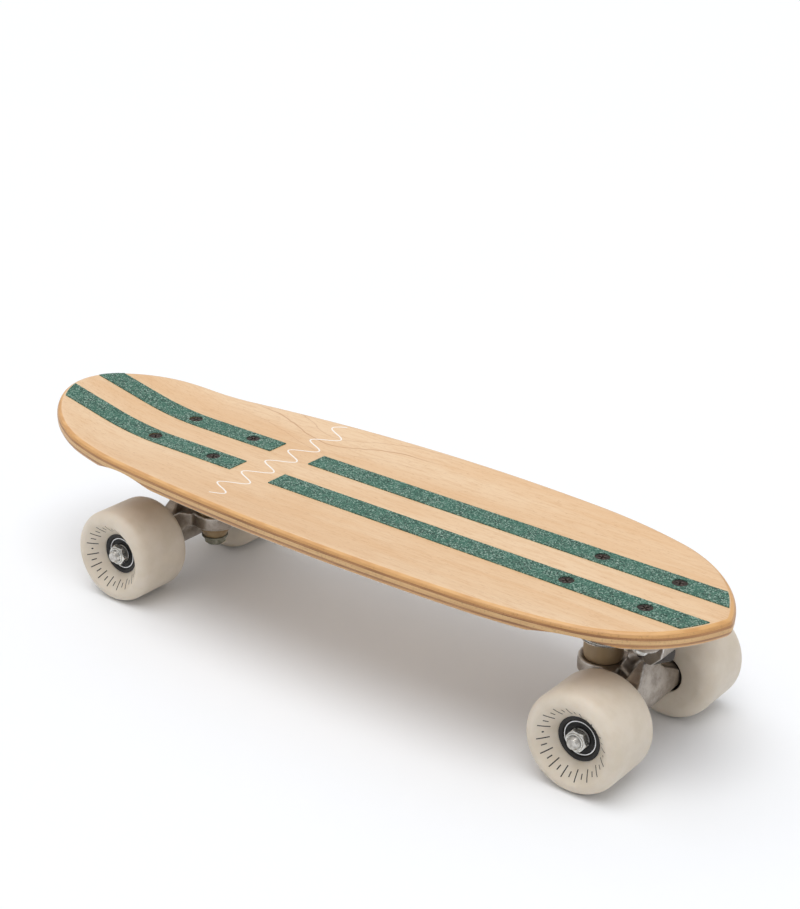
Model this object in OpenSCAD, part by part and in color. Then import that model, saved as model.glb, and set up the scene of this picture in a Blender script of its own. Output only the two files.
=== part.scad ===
// Small cruiser skateboard: a laminated maple deck with a kick tail, two sprung trucks and four wheels.
// +X points to the nose, +Y to the rider's left, +Z up. The floor under the wheels is z = 0.

/* [Deck] */
// Height of the deck's flat top above the floor
deck_top = 102.5; // [95:0.5:110]
// Thickness of each thin ply
ply_t = 1.55; // [1.2:0.05:1.8]
// Thickness of the core ply
core_t = 2.6; // [1.6:0.1:3.2]
// Radius that rounds the deck's edge, top and bottom
edge_r = 5; // [3:0.5:5.5]
// Half width of the flat middle of the deck
flat_half = 30; // [28:1:34]
// Radius of the upturned flanks beside the flat middle
flank_r = 412; // [300:4:900]
// Radius of the bend that starts the kick tail
kick_r = 270; // [180:5:400]
// Angle of the kick tail
kick_deg = 11.2931; // [8:0.0001:14]
// Distance from the rear axle outboard to the start of the kick
kick_start = 0.2; // [-4:0.1:6]

/* [Outline] */
// Radii of the outline's arcs from the nose tip to the tail tip; 0 is the long side, worked out
arc_r = [8, 102, 353, 0, 84, 53];
// Angle that each of those arcs turns through, 180 in all
arc_deg = [16.8, 58.3, 10.7, 13.6, 50.7, 29.9];

/* [Grip tape] */
// Width of each strip of grip tape
grip_w = 17.5; // [12:0.5:18]
// Thickness of the grip tape
grip_t = 0.9; // [0.6:0.1:1.2]
// Gap along the board between the front and the rear strips
grip_gap = 34; // [20:1:60]
// Distance from the nose tip to the front end of that gap
grip_break = 326.9; // [300:1:350]

/* [Trucks] */
// Distance between the two axles
wheelbase = 371; // [360:1:380]
// Distance from the nose tip back to the front axle
nose_overhang = 56.2; // [50:0.5:62]
// Height from the axle's centre to the top of the baseplate
truck_h = 52.1; // [52.1:0.1:54]
// Thickness of the riser pad
riser_t = 6; // [3:0.5:8]
// Bolt spacing along the board
bolt_dx = 53.975; // [53.975:0.005:63.5]
// Bolt spacing across the board
bolt_dy = 41.275; // [41.275:0.005:42]
// Distance from the axle inboard to the middle of the bolt pattern
bolt_back = 16.8; // [15:0.1:18]
// Distance from the axle inboard to the kingpin
king_back = 26; // [23:0.5:27]
// Width of the hanger between the speed washers
hanger_w = 82.6; // [80:0.1:86]
// Diameter of the axle
axle_d = 7.94; // [7.9:0.01:7.96]

/* [Wheels] */
// Diameter of the wheels
wheel_d = 65; // [60:1:66]
// Width of the wheels
wheel_w = 47; // [44:0.5:48]
// Radial size of the rounded lip on the outer side
outer_lip = 6.5; // [5:0.5:8]
// Radial size of the rounded lip on the inner side
inner_lip = 9.5; // [8:0.5:11]
// Diameter of the recess behind the inner bearing
recess_d = 24; // [23:0.5:25]
// Depth of the outer face's dish, from the lip to the core
dish_depth = 11.1; // [9:0.1:11.5]

/* [Bearings] */
// Outside diameter of a bearing
bearing_d = 22; // [22:0.1:22]
// Bore of a bearing
bearing_bore = 8; // [8:0.1:8]
// Width of a bearing
bearing_w = 7; // [7:0.1:7]
// Length of the spacer between a wheel's two bearings
spacer_l = 10; // [10:0.1:10.2]
// Diameter of a ball
ball_d = 3.97; // [3.97:0.01:3.97]
// Number of balls in each bearing
ball_count = 7; // [7:1:7]

/* [Hidden] */
$fn = 96;
eps = 0.01;

// Deck: depth of each ply's upper face under the deck's top, then the deck's full thickness
ply_sizes = [ply_t, ply_t, ply_t, core_t, ply_t, ply_t, ply_t];
function depth(i) = i == 0 ? 0 : depth(i - 1) + ply_sizes[i - 1];
deck_t = depth(7);

// Outline: heading at the start of arc i, and the plan step that one arc makes
function heading(i) = i == 0 ? 90 : heading(i - 1) + arc_deg[i - 1];
function rise(i) = cos(heading(i)) - cos(heading(i + 1));
function run(i) = sin(heading(i + 1)) - sin(heading(i));
long_i = 3;
function dot_rise(i) = i < 0 ? 0 : arc_r[i] * rise(i) + dot_rise(i - 1);
long_r = -dot_rise(5) / rise(long_i);
radii = [for (i = [0:5]) i == long_i ? long_r : arc_r[i]];
function arc_x(i, r, x) = i < 0 ? x : arc_x(i - 1, r, x + r[i] * run(i));
deck_len = -arc_x(5, radii, 0);
nose_x = deck_len / 2;

// Trucks
axle_z = wheel_d / 2;
front_x = nose_x - nose_overhang;
rear_x = front_x - wheelbase;
kick_x = rear_x - kick_start;
base_z = truck_h;
flange_t = 6.5;
flange_z = base_z - flange_t;
base_back = 52.5;
base_front = 21.5;
base_half = 28.5;
bolt_r = 2.4;
bolt_hole_r = 2.65;
bolt_head_r = 4.75;
bolt_head_rim = 0.35;
bolt_len = 32;
head_top = deck_top + 0.3;
nut_h = 5;
nut_af = 9.5;
nut_hex_h = 3.6;
nut_collar_r = 4.1;
thread_gap = 0.03;
king_r = 4.76;
king_bore = 4.84;
king_af = 14.3;
king_head_z = 44.5;
king_head_h = 6;
boss_z = 33;
cup_washer_t = 1.6;
cup_washer_r = 15.8;
ring_r = 15.5;
upper_seat = 16.5;
lower_seat = 8;
upper_bush_r = 12.8;
lower_bush_r = 11.5;
lower_bush_h = 8.5;
lower_washer_t = 1.2;
king_nut_h = 5.3;
king_hex_h = 4;
king_collar_r = 5.8;
house_r = 11.2;
house_end_r = 10.8;
hanger_half = hanger_w / 2;
pivot = [11, 34];
ring_mid = (upper_seat + lower_seat) / 2;
steer = [pivot[0] + king_back, pivot[1] - ring_mid];
steer_len = norm(steer);
steer_deg = atan2(steer[1], steer[0]);
nose_r = 5.2;
pivot_gap = 0.05;
pivot_cup_r = 8;

// Wheels: distances out from the board's middle along the axle
washer_t = 1;
inner_bearing_y = hanger_half + washer_t;
spacer_y = inner_bearing_y + bearing_w;
outer_bearing_y = spacer_y + spacer_l;
outer_washer_y = outer_bearing_y + bearing_w;
nut_y = outer_washer_y + washer_t;
wheel_mid = spacer_y + spacer_l / 2 + 0.6;
wheel_in = wheel_mid - wheel_w / 2;
wheel_out = wheel_mid + wheel_w / 2;
axle_half = 75.6;
axle_nut_af = 12.7;
axle_hex_h = 4.2;
axle_collar_r = 5.4;
axle_collar_h = 1;
core_end = 1.8;
core_r = 14.2;
core_out = wheel_out - dish_depth;
hole_r = recess_d / 2 + 0.3;
pitch_r = 7.5;
groove_r = ball_d / 2 + 0.06;
inner_land = 6.05;
outer_land = 9.1;

// ---------- placing ----------

module place(end) {
    if (end == "front")
        translate([front_x, 0, axle_z]) children();
    else
        translate([rear_x, 0, axle_z]) mirror([1, 0, 0]) children();
}

// Turns a shape that is drawn around Z so that it lies along +Y
module along_y() {
    rotate([-90, 0, 0]) children();
}

module both_sides() {
    children();
    mirror([0, 1, 0]) children();
}

// Lays +Z along the steering axis, starting at the middle of the hanger's ring
module along_steer() {
    translate([-king_back, 0, ring_mid]) rotate([0, 90 - steer_deg, 0]) children();
}

module at_bolts() {
    for (sx = [-1, 1], sy = [-1, 1])
        translate([-bolt_back + sx * bolt_dx / 2, sy * bolt_dy / 2, 0]) children();
}

module tube(r_out, r_in, h) {
    difference() {
        cylinder(r = r_out, h = h);
        translate([0, 0, -1]) cylinder(r = r_in, h = h + 2);
    }
}

module hex(af, h) {
    cylinder(d = af / cos(30), h = h, $fn = 6);
}

// ---------- deck ----------

// One arc of the outline as points, drawn smaller by inset
function arc_points(i, x, y, inset) =
    let (
        r = radii[i] - inset,
        h = heading(i),
        cx = x - radii[i] * sin(h),
        cy = y + radii[i] * cos(h),
        n = ceil(arc_deg[i] / 3.6 + radii[i] * arc_deg[i] / 2600)
    )
    [for (k = [0:n - 1]) [cx + r * sin(h + k * arc_deg[i] / n), cy - r * cos(h + k * arc_deg[i] / n)]];

function half_points(i, x, y, inset) =
    i > 5 ? [] : concat(
        arc_points(i, x, y, inset),
        half_points(i + 1, x + radii[i] * run(i), y + radii[i] * rise(i), inset));

module outline(inset) {
    side = concat(half_points(0, nose_x, 0, inset), [[-nose_x + inset, 0]]);
    n = len(side);
    polygon(concat(side, [for (k = [n - 2:-1:1]) [side[k][0], -side[k][1]]]));
}

// Section of a layer across the board, between two depths under the top
module layer_section(d0, d1) {
    reach = 60;
    translate([-flat_half, -d1]) square([2 * flat_half, d1 - d0]);
    for (s = [0, 1]) mirror([s, 0]) intersection() {
        translate([flat_half, flank_r]) difference() {
            circle(r = flank_r + d1, $fn = 720);
            circle(r = flank_r + d0, $fn = 720);
        }
        translate([flat_half - eps, -d1 - 1]) square([reach + eps, d1 + 20]);
    }
}

// That layer along the whole board: flat, then bent up into the kick tail
module layer(d0, d1) {
    tail_l = 120;
    translate([kick_x, 0, deck_top]) rotate([90, 0, 90])
        linear_extrude(height = nose_x - kick_x + 1) layer_section(d0, d1);
    translate([kick_x, 0, deck_top + kick_r]) {
        mirror([1, 0, 0]) rotate([90, 0, 0]) rotate([0, 0, -90])
            rotate_extrude(angle = kick_deg, $fn = 720)
                translate([kick_r, 0]) rotate(90) layer_section(d0, d1);
        rotate([0, kick_deg, 0]) translate([-tail_l, 0, -kick_r]) rotate([90, 0, 90])
            linear_extrude(height = tail_l) layer_section(d0, d1);
    }
}

module bolt_holes(r) {
    for (end = ["front", "rear"])
        place(end) at_bolts() translate([0, 0, base_z - 20]) cylinder(r = r, h = 60);
}

module countersinks() {
    sink = bolt_head_r + 0.1;
    for (end = ["front", "rear"]) place(end) at_bolts() translate([0, 0, head_top - axle_z]) {
        translate([0, 0, -bolt_head_rim]) cylinder(r = sink, h = 5);
        translate([0, 0, -bolt_head_rim - sink]) cylinder(r1 = 0, r2 = sink, h = sink);
    }
}

// Shallow wells under the deck's edges, which give the wheels room in a hard turn
module wheel_wells() {
    well_r = 100;
    well_back = 8;
    well_start = 38;
    well_deg = 10;
    for (end = ["front", "rear"]) place(end) both_sides()
        translate([-well_back, well_start, base_z + riser_t - well_r]) rotate([well_deg, 0, 0])
            along_y() cylinder(r = well_r, h = 70, $fn = 360);
}

function round_inset(d) = edge_r - sqrt(edge_r * edge_r - pow(max(edge_r - d, 0), 2));

module ply(i) {
    d0 = depth(i);
    d1 = depth(i + 1);
    mid = (d0 + d1) / 2;
    difference() {
        intersection() {
            layer(d0, d1);
            translate([0, 0, deck_top - 40]) linear_extrude(height = 90)
                outline(round_inset(min(mid, deck_t - mid)));
        }
        bolt_holes(bolt_hole_r);
        countersinks();
        if (i > 2) wheel_wells();
    }
}

module deck_ply_1_top() { color("#ecc9a0") ply(0); }
module deck_ply_2() { color("#e3b781") ply(1); }
module deck_ply_3_cross() { color("#a67f4c") ply(2); }
module deck_ply_4_core() { color("#dcb27c") ply(3); }
module deck_ply_5_cross() { color("#a67f4c") ply(4); }
module deck_ply_6() { color("#dcb27c") ply(5); }
module deck_ply_7_bottom() { color("#e5c39a") ply(6); }

// ---------- grip tape ----------

module grip(x0, x1, side) {
    break_clear = edge_r - 0.6;
    color("#4a7d6c") difference() {
        intersection() {
            layer(-grip_t, 0);
            translate([0, 0, deck_top - 10]) linear_extrude(height = 60) intersection() {
                outline(break_clear);
                translate([x0, side * bolt_dy / 2 - grip_w / 2]) square([x1 - x0, grip_w]);
            }
        }
        bolt_holes(bolt_head_r + 0.15);
    }
}

grip_x = nose_x - grip_break;
module grip_front_left() { grip(grip_x, nose_x, 1); }
module grip_front_right() { grip(grip_x, nose_x, -1); }
module grip_rear_left() { grip(-nose_x, grip_x - grip_gap, 1); }
module grip_rear_right() { grip(-nose_x, grip_x - grip_gap, -1); }

// ---------- deck hardware ----------

module deck_bolt() {
    cone_h = bolt_head_r - bolt_r;
    slot_w = 1.2;
    slot_l = 5;
    slot_depth = 1.7;
    difference() {
        union() {
            translate([0, 0, -bolt_head_rim]) cylinder(r = bolt_head_r, h = bolt_head_rim);
            translate([0, 0, -bolt_head_rim - cone_h]) cylinder(r1 = bolt_r, r2 = bolt_head_r, h = cone_h);
            translate([0, 0, -bolt_len]) cylinder(r = bolt_r, h = bolt_len - bolt_head_rim - cone_h);
        }
        for (a = [0, 90]) rotate([0, 0, a])
            translate([-slot_l / 2, -slot_w / 2, -slot_depth]) cube([slot_l, slot_w, slot_depth + 1]);
    }
}

module deck_bolts() {
    color("#2b2420") for (end = ["front", "rear"])
        place(end) at_bolts() translate([0, 0, head_top - axle_z]) deck_bolt();
}

module lock_nut(af, r_in, hex_h, collar_r, collar_h) {
    difference() {
        union() {
            intersection() {
                hex(af, hex_h);
                cylinder(r1 = af / 2 + hex_h * 0.9, r2 = af / 2 + 0.1, h = hex_h);
            }
            translate([0, 0, hex_h - eps]) cylinder(r = collar_r, h = collar_h + eps);
        }
        translate([0, 0, -1]) cylinder(r = r_in, h = hex_h + collar_h + 2);
    }
}

module deck_nuts() {
    color("#c9c9c6") for (end = ["front", "rear"]) place(end) at_bolts()
        translate([0, 0, flange_z]) mirror([0, 0, 1])
            lock_nut(nut_af, bolt_r + thread_gap, nut_hex_h, nut_collar_r, nut_h - nut_hex_h);
}

// ---------- truck: pieces fixed to the deck ----------

module base_plan(grow) {
    corner = 7;
    hull() for (x = [-base_back + corner, base_front - corner], sy = [-1, 1])
        translate([x, sy * (base_half - corner)]) circle(r = corner + grow, $fn = 32);
}

module riser_pad() {
    color("#2a2725") difference() {
        translate([0, 0, base_z]) linear_extrude(height = riser_t) base_plan(0.5);
        at_bolts() translate([0, 0, base_z - 1]) cylinder(r = bolt_hole_r, h = riser_t + 2);
    }
}

module baseplate() {
    boss_half = 10.5;
    rib_half = 4;
    color("#b5aea6") difference() {
        union() {
            translate([0, 0, flange_z]) linear_extrude(height = flange_t) base_plan(0);
            translate([-king_back, 0, boss_z]) cylinder(r1 = 12.5, r2 = 16, h = flange_z - boss_z + eps);
            translate([0, boss_half, 0]) rotate([90, 0, 0]) linear_extrude(height = 2 * boss_half)
                polygon([[-5, flange_z + 1], [0.4, 40], [7.6, 28.4], [12.5, 28], [19, 35],
                    [20.5, flange_z + 1]]);
            translate([0, rib_half, 0]) rotate([90, 0, 0]) linear_extrude(height = 2 * rib_half)
                polygon([[-20, flange_z + 1], [-18, 37], [0, 41], [2, flange_z + 1]]);
        }
        at_bolts() translate([0, 0, flange_z - 1]) cylinder(r = bolt_hole_r, h = flange_t + 2);
        translate([-king_back, 0, boss_z - 1]) cylinder(r = king_bore, h = 30);
        translate([-king_back, 0, king_head_z]) cylinder(r = 9, h = 10);
        along_steer() translate([0, 0, steer_len - 8]) cylinder(r = pivot_cup_r, h = 14.5);
    }
}

module pivot_cup() {
    mouth = 5.8;
    cavity_r = nose_r + pivot_gap;
    color("#3a3733") along_steer() difference() {
        translate([0, 0, steer_len - mouth]) cylinder(r = pivot_cup_r, h = mouth + 6.5);
        translate([0, 0, steer_len - mouth - 1]) cylinder(r = cavity_r, h = mouth + 1);
        translate([0, 0, steer_len]) sphere(r = cavity_r);
    }
}

module kingpin() {
    king_end = lower_seat - lower_bush_h - lower_washer_t - king_nut_h - 0.8;
    color("#9d9a95") translate([-king_back, 0, 0]) {
        translate([0, 0, king_head_z]) hex(king_af, king_head_h);
        translate([0, 0, king_end]) cylinder(r = king_r, h = king_head_z - king_end + eps);
    }
}

module upper_bushing() {
    h = boss_z - cup_washer_t - upper_seat;
    color("#8c7c5c") translate([-king_back, 0, upper_seat]) difference() {
        union() {
            cylinder(r1 = upper_bush_r - 0.5, r2 = upper_bush_r, h = 1.2);
            translate([0, 0, 1.2 - eps]) cylinder(r = upper_bush_r, h = h - 2.4 + 2 * eps);
            translate([0, 0, h - 1.2]) cylinder(r1 = upper_bush_r, r2 = upper_bush_r - 0.5, h = 1.2);
        }
        translate([0, 0, -1]) cylinder(r = king_bore, h = h + 2);
    }
}

module lower_bushing() {
    color("#968060") translate([-king_back, 0, lower_seat - lower_bush_h]) difference() {
        cylinder(r1 = lower_bush_r - 3, r2 = lower_bush_r, h = lower_bush_h);
        translate([0, 0, -1]) cylinder(r = king_bore, h = lower_bush_h + 2);
    }
}

// Dished washer whose rim turns down around the upper bushing
module cup_washer() {
    rim = 0.6;
    translate([-king_back, 0, boss_z - cup_washer_t]) difference() {
        union() {
            translate([0, 0, -rim]) cylinder(r = cup_washer_r, h = rim + 0.6);
            translate([0, 0, 0.6 - eps]) cylinder(r1 = cup_washer_r, r2 = cup_washer_r - 1, h = 1 + eps);
        }
        translate([0, 0, -rim - 1]) cylinder(r = upper_bush_r + 0.4, h = rim + 1);
        translate([0, 0, -1]) cylinder(r = king_bore, h = 4);
    }
}

module cup_washers() { color("#d9dadb") for (end = ["front", "rear"]) place(end) cup_washer(); }

module lower_washers() {
    color("#c4c4c2") for (end = ["front", "rear"]) place(end)
        translate([-king_back, 0, lower_seat - lower_bush_h - lower_washer_t])
            tube(9.3, king_bore, lower_washer_t);
}

module kingpin_nuts() {
    color("#c9c9c6") for (end = ["front", "rear"]) place(end)
        translate([-king_back, 0, lower_seat - lower_bush_h - lower_washer_t]) mirror([0, 0, 1])
            lock_nut(king_af, king_bore, king_hex_h, king_collar_r, king_nut_h - king_hex_h);
}

module front_riser_pad() { place("front") riser_pad(); }
module front_baseplate() { place("front") baseplate(); }
module front_pivot_cup() { place("front") pivot_cup(); }
module front_kingpin() { place("front") kingpin(); }
module front_upper_bushing() { place("front") upper_bushing(); }
module front_lower_bushing() { place("front") lower_bushing(); }
module rear_riser_pad() { place("rear") riser_pad(); }
module rear_baseplate() { place("rear") baseplate(); }
module rear_pivot_cup() { place("rear") pivot_cup(); }
module rear_kingpin() { place("rear") kingpin(); }
module rear_upper_bushing() { place("rear") upper_bushing(); }
module rear_lower_bushing() { place("rear") lower_bushing(); }

// ---------- truck: pieces that steer ----------

module hanger_ring() {
    rim_up = 1;
    rim_down = 0.2;
    translate([-king_back, 0, lower_seat - rim_down])
        cylinder(r = ring_r, h = upper_seat - lower_seat + rim_up + rim_down);
}

// Wedge that widens from the ring to the axle housing
module hanger_web() {
    web_half = 27;
    intersection() {
        translate([0, web_half, 0]) rotate([90, 0, 0]) linear_extrude(height = 2 * web_half)
            polygon([[-30, 9], [-30, 15.5], [-10, 17.5], [1, 9.8], [4, 2], [-2, -7], [-9, -1], [-14, 7]]);
        translate([0, 0, -20]) linear_extrude(height = 50)
            polygon([[-30, 13], [-18, 14], [-3, 25], [5, 25], [5, -25], [-3, -25], [-18, -14], [-30, -13]]);
    }
}

module hanger_housing() {
    mid_half = 7;
    taper_end = 34;
    end = hanger_half;
    r = house_end_r;
    along_y() rotate_extrude() polygon([
        [0, -end], [r - 1, -end], [r, 1 - end], [r, -taper_end], [house_r, -mid_half],
        [house_r, mid_half], [r, taper_end], [r, end - 1], [r - 1, end], [0, end]]);
}

// Shoulders that slope from under the pivot down to the housing's ends, flat towards the nose or the tail
module hanger_shoulders() {
    reach = 31;
    intersection() {
        translate([0, reach, 0]) rotate([90, 0, 0]) linear_extrude(height = 2 * reach)
            polygon([[-3.4, 0], [-3.4, 10], [0, 20], [3.2, 26.5], [5.5, 26.5], [11.1, 6], [11.1, 0]]);
        translate([-20, 0, 0]) rotate([90, 0, 90]) linear_extrude(height = 40)
            polygon([[-reach, -2], [-reach, 7], [-15, 15], [-5, 26.5], [5, 26.5], [15, 15], [reach, 7],
                [reach, -2]]);
    }
}

// Neck that rises from the ring and ends in the round tip that sits in the pivot cup
module hanger_nose() {
    neck_half = 5;
    root = 24;
    root_r = 6.2;
    straight = 9;
    along_steer() rotate_extrude() {
        intersection() {
            translate([0, steer_len]) circle(r = nose_r);
            translate([0, steer_len]) square(nose_r);
        }
        polygon([[0, root], [root_r, root], [nose_r, steer_len - straight], [nose_r, steer_len],
            [0, steer_len]]);
    }
    translate([0, neck_half, 0]) rotate([90, 0, 0]) linear_extrude(height = 2 * neck_half)
        polygon([[-10.8, 10], [-10.8, 18.5], [-7, 26.5], [-3, 28], [4, 23], [7, 8]]);
}

module hanger() {
    color("#b8b1a9") difference() {
        union() {
            hanger_ring();
            hanger_web();
            hanger_housing();
            hanger_shoulders();
            hanger_nose();
        }
        translate([-king_back, 0, -5]) cylinder(r = 7, h = 40);
        translate([-king_back, 0, upper_seat]) cylinder(r = upper_bush_r + 0.5, h = 20);
        translate([-king_back, 0, -30]) cylinder(r = lower_bush_r + 1, h = 30 + lower_seat);
        both_sides() translate([0, 0, 10]) linear_extrude(height = 20)
            polygon([[-10.5, 6.5], [-4.5, 6.5], [-3.5, 18], [-8.5, 12.5]]);
        translate([0, -60, 0]) along_y() cylinder(d = axle_d, h = 120);
    }
}

module axle() {
    tip = 0.8;
    r = axle_d / 2;
    color("#a8a8a6") union() {
        translate([0, -axle_half + tip, 0]) along_y() cylinder(r = r, h = 2 * (axle_half - tip));
        both_sides() translate([0, axle_half - tip - eps, 0]) along_y()
            cylinder(r1 = r, r2 = r - tip, h = tip);
    }
}

module axle_nuts() {
    color("#cfcfcc") both_sides() translate([0, nut_y, 0]) along_y()
        lock_nut(axle_nut_af, axle_d / 2 + thread_gap, axle_hex_h, axle_collar_r, axle_collar_h);
}

module speed_washers() {
    color("#c4c4c2") both_sides() for (y = [hanger_half, outer_washer_y])
        translate([0, y, 0]) along_y() tube(5.9, bearing_bore / 2 + 0.05, washer_t);
}

module bearing_spacers() {
    color("#b9b9b6") both_sides() translate([0, spacer_y, 0]) along_y()
        tube(5.8, bearing_bore / 2 + 0.05, spacer_l);
}

// Torus-shaped groove that the balls run in, centred in a bearing's width
module groove() {
    translate([0, 0, bearing_w / 2]) rotate_extrude() translate([pitch_r, 0]) circle(r = groove_r, $fn = 48);
}

module at_bearings() {
    for (y = [inner_bearing_y, outer_bearing_y]) translate([0, y, 0]) along_y() children();
}

module bearing_inner_rings() {
    color("#cfd0d0") both_sides() at_bearings() difference() {
        tube(inner_land, bearing_bore / 2, bearing_w);
        groove();
    }
}

module front_hanger() { place("front") hanger(); }
module front_axle() { place("front") axle(); }
module front_axle_nuts() { place("front") axle_nuts(); }
module front_speed_washers() { place("front") speed_washers(); }
module front_bearing_spacers() { place("front") bearing_spacers(); }
module front_bearing_inner_rings() { place("front") bearing_inner_rings(); }
module rear_hanger() { place("rear") hanger(); }
module rear_axle() { place("rear") axle(); }
module rear_axle_nuts() { place("rear") axle_nuts(); }
module rear_speed_washers() { place("rear") speed_washers(); }
module rear_bearing_spacers() { place("rear") bearing_spacers(); }
module rear_bearing_inner_rings() { place("rear") bearing_inner_rings(); }

// ---------- wheels ----------

// Quarter of an ellipse from the face (t = 0) round to the tread (t = 90)
function lip(r_face, y_face, dr, dy, a) = [r_face + dr * sin(a), y_face + dy * (1 - cos(a))];

module wheel() {
    r = wheel_d / 2;
    outer_axial = 7.5;
    inner_axial = 10;
    steps = 10;
    face_r = r - outer_lip;
    color("#d8cfc2") along_y() rotate_extrude() polygon(concat(
        [[core_r, wheel_in + core_end], [hole_r, wheel_in + core_end], [hole_r, wheel_in + 0.6],
            [hole_r + 0.7, wheel_in]],
        [for (k = [0:steps]) lip(r - inner_lip, wheel_in, inner_lip, inner_axial, k * 90 / steps)],
        [for (k = [steps:-1:0]) lip(r - outer_lip, wheel_out, outer_lip, -outer_axial, k * 90 / steps)],
        [for (k = [1:steps]) [face_r + (core_r - face_r) * k / steps,
            wheel_out - dish_depth * pow(k / steps, 1.25)]]));
}

module wheel_core() {
    shoulder_r = 10;
    color("#1f1d1c") along_y() difference() {
        translate([0, 0, wheel_in + core_end]) cylinder(r = core_r, h = core_out - wheel_in - core_end);
        translate([0, 0, wheel_in]) cylinder(r = recess_d / 2, h = inner_bearing_y - wheel_in);
        translate([0, 0, outer_washer_y])
            cylinder(r1 = bearing_d / 2, r2 = recess_d / 2, h = core_out - outer_washer_y);
        translate([0, 0, wheel_in]) cylinder(r = shoulder_r, h = wheel_w);
        for (y = [inner_bearing_y, outer_bearing_y]) translate([0, 0, y])
            cylinder(d = bearing_d, h = bearing_w);
    }
}

module bearing_outer_rings() {
    color("#c9cacb") at_bearings() difference() {
        tube(bearing_d / 2, outer_land, bearing_w);
        groove();
    }
}

module bearing_seals() {
    seal_t = 0.4;
    seal_in = 0.3;
    color("#141414") at_bearings() for (z = [seal_in, bearing_w - seal_in - seal_t])
        translate([0, 0, z]) tube(outer_land, inner_land + 0.35, seal_t);
}

module bearing_balls() {
    cage_back = 2.6;
    color("#dadada") at_bearings() translate([0, 0, bearing_w / 2]) {
        for (k = [0:ball_count - 1]) rotate([0, 0, k * 360 / ball_count])
            translate([pitch_r, 0, 0]) sphere(d = ball_d, $fn = 32);
        difference() {
            translate([0, 0, -cage_back]) tube(8.4, 6.7, cage_back + 0.7);
            for (k = [0:ball_count - 1]) rotate([0, 0, k * 360 / ball_count])
                translate([pitch_r, 0, 0]) sphere(d = ball_d + 0.16, $fn = 32);
        }
    }
}

// Puts a wheel's pieces on one end of one axle
module on_axle(end, side) {
    place(end) mirror([0, side == "left" ? 0 : 1, 0]) children();
}

module front_left_wheel() { on_axle("front", "left") wheel(); }
module front_left_wheel_core() { on_axle("front", "left") wheel_core(); }
module front_left_bearing_outer_rings() { on_axle("front", "left") bearing_outer_rings(); }
module front_left_bearing_seals() { on_axle("front", "left") bearing_seals(); }
module front_left_bearing_balls() { on_axle("front", "left") bearing_balls(); }
module front_right_wheel() { on_axle("front", "right") wheel(); }
module front_right_wheel_core() { on_axle("front", "right") wheel_core(); }
module front_right_bearing_outer_rings() { on_axle("front", "right") bearing_outer_rings(); }
module front_right_bearing_seals() { on_axle("front", "right") bearing_seals(); }
module front_right_bearing_balls() { on_axle("front", "right") bearing_balls(); }
module rear_left_wheel() { on_axle("rear", "left") wheel(); }
module rear_left_wheel_core() { on_axle("rear", "left") wheel_core(); }
module rear_left_bearing_outer_rings() { on_axle("rear", "left") bearing_outer_rings(); }
module rear_left_bearing_seals() { on_axle("rear", "left") bearing_seals(); }
module rear_left_bearing_balls() { on_axle("rear", "left") bearing_balls(); }
module rear_right_wheel() { on_axle("rear", "right") wheel(); }
module rear_right_wheel_core() { on_axle("rear", "right") wheel_core(); }
module rear_right_bearing_outer_rings() { on_axle("rear", "right") bearing_outer_rings(); }
module rear_right_bearing_seals() { on_axle("rear", "right") bearing_seals(); }
module rear_right_bearing_balls() { on_axle("rear", "right") bearing_balls(); }

deck_ply_1_top();
deck_ply_2();
deck_ply_3_cross();
deck_ply_4_core();
deck_ply_5_cross();
deck_ply_6();
deck_ply_7_bottom();
grip_front_left();
grip_front_right();
grip_rear_left();
grip_rear_right();
deck_bolts();
deck_nuts();
front_riser_pad();
front_baseplate();
front_pivot_cup();
front_kingpin();
front_upper_bushing();
front_lower_bushing();
rear_riser_pad();
rear_baseplate();
rear_pivot_cup();
rear_kingpin();
rear_upper_bushing();
rear_lower_bushing();
cup_washers();
lower_washers();
kingpin_nuts();
front_hanger();
front_axle();
front_axle_nuts();
front_speed_washers();
front_bearing_spacers();
front_bearing_inner_rings();
rear_hanger();
rear_axle();
rear_axle_nuts();
rear_speed_washers();
rear_bearing_spacers();
rear_bearing_inner_rings();
front_left_wheel();
front_left_wheel_core();
front_left_bearing_outer_rings();
front_left_bearing_seals();
front_left_bearing_balls();
front_right_wheel();
front_right_wheel_core();
front_right_bearing_outer_rings();
front_right_bearing_seals();
front_right_bearing_balls();
rear_left_wheel();
rear_left_wheel_core();
rear_left_bearing_outer_rings();
rear_left_bearing_seals();
rear_left_bearing_balls();
rear_right_wheel();
rear_right_wheel_core();
rear_right_bearing_outer_rings();
rear_right_bearing_seals();
rear_right_bearing_balls();
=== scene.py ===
# Small cruiser skateboard: a laminated maple deck with a kick tail and green grip-tape stripes,
# two cast trucks on urethane bushings, and four soft cream wheels on sealed bearings.
# The frame gives every place. Lengths are in metres; the radii of the deck's outline are in millimetres.
import random
from math import atan2, ceil, cos, hypot, pi, radians, sin, sqrt

import bmesh
import bpy
from mathutils import Matrix, Vector, noise


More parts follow.
